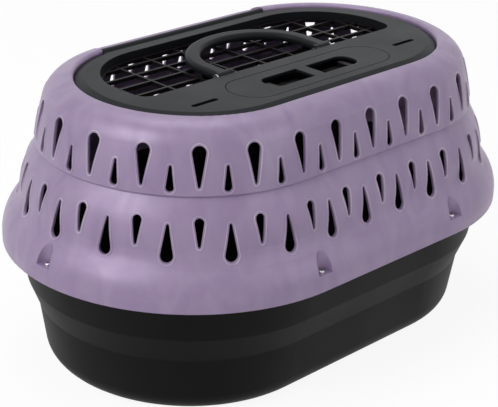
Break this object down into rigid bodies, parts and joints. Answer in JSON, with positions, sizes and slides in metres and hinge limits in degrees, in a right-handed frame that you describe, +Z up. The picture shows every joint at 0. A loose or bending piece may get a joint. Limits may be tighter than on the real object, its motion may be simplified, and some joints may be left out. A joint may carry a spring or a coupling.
{
  "type": "top-load cat carrier",
  "caption": "Oval two-part plastic pet carrier with drop-shaped air slots, a hinged top lid with a grille window, a folding carry handle and a pinch latch.",
  "frame": {"origin": "middle of the base's underside, on the floor", "axes": "+Z up, X along the carrier, -Y the latch side, +Y the hinge side"},
  "size_m": [0.5, 0.33, 0.2611],
  "materials": {
    "lilac_shell": "satin pearl",
    "black_shell": "matt",
    "grey_shell": "satin",
    "dark_grille": "satin",
    "steel": "bright zinc"
  },
  "bodies": {
    "carrier": {"base_tub": "black_shell", "upper_shell": "lilac_shell", "shell_screws": "steel", "hinge_pin_left": "steel", "hinge_pin_right": "steel"},
    "lid": {"lid_frame": "grey_shell", "lid_grille": "dark_grille", "latch_cover": "grey_shell", "latch_tray": "dark_grille", "lid_screws": "steel", "latch_spring_left": "steel", "latch_spring_right": "steel", "handle_pin_left": "steel", "handle_pin_right": "steel"},
    "handle": {"carry_handle": "grey_shell"},
    "latch_left": {"latch_slider_left": "dark_grille"},
    "latch_right": {"latch_slider_right": "dark_grille"}
  },
  "joints": [
    {"name": "lid_hinge", "type": "hinge", "parent": "carrier", "child": "lid", "pos_m": [0, 0.1034, 0.2529], "axis": [-1, 0, 0], "range_deg": [0, 110]},
    {"name": "handle_pivot", "type": "hinge", "parent": "lid", "child": "handle", "pos_m": [0, -0.0146, 0.255], "axis": [1, 0, 0], "range_deg": [0, 85]},
    {"name": "latch_left_slide", "type": "slide", "parent": "lid", "child": "latch_left", "axis": [1, 0, 0], "range_m": [0, 0.007], "stiffness_N_per_m": 400, "springref_m": -0.004, "deforming": ["latch_spring_left"]},
    {"name": "latch_right_slide", "type": "slide", "parent": "lid", "child": "latch_right", "axis": [-1, 0, 0], "range_m": [0, 0.007], "stiffness_N_per_m": 400, "springref_m": -0.004, "deforming": ["latch_spring_right"]}
  ]
}
